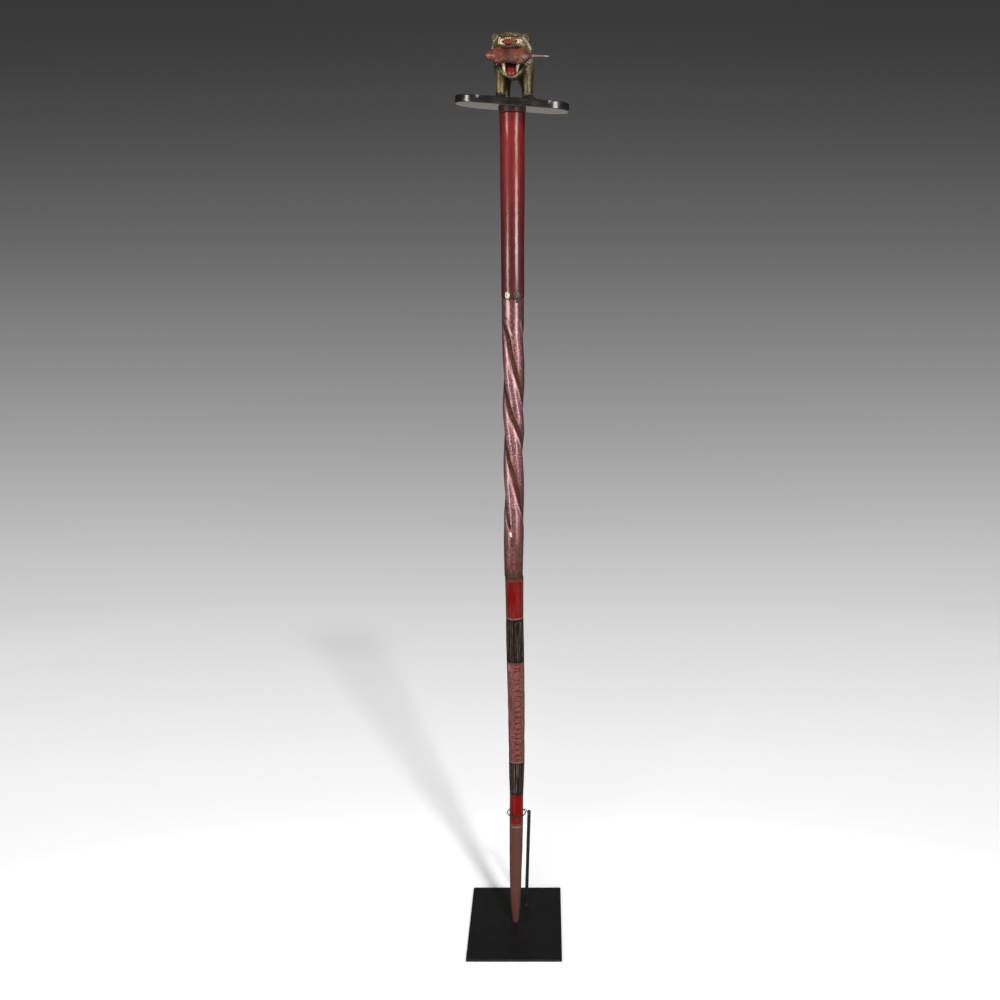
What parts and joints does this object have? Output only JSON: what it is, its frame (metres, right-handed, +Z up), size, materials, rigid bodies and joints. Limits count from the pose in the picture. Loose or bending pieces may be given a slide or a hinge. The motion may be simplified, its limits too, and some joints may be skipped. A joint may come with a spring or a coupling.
{
  "type": "linguist staff",
  "caption": "Carved and painted wooden staff topped by a standing leopard with its prey, upright in a ring on a flat steel base.",
  "frame": {"origin": "centre of the base plate's flat underside", "axes": "+Z up along the staff; the leopard faces -Y; +X is the leopard's own left, which is the right hand of a viewer in front and the side the prey's tail points to"},
  "size_m": [0.1779, 0.22, 1.5461],
  "materials": {
    "leopard_paint": "gloss paint over carved wood",
    "board_gloss": "gloss black paint",
    "upper_red": "gloss red paint",
    "spiral_mauve": "varnished pink stain with brown grooves",
    "lower_paint": "worn paint in pink, red and black bands",
    "rod_black": "matt black",
    "ring_wire": "satin dark wire",
    "plate_black": "matt black"
  },
  "bodies": {
    "root": {"leopard_finial": "leopard_paint", "finial_board": "board_gloss", "upper_shaft": "upper_red", "spiral_shaft": "spiral_mauve", "lower_shaft": "lower_paint", "support_rod": "rod_black", "holding_ring": "ring_wire", "base_plate": "plate_black"}
  },
  "joints": []
}
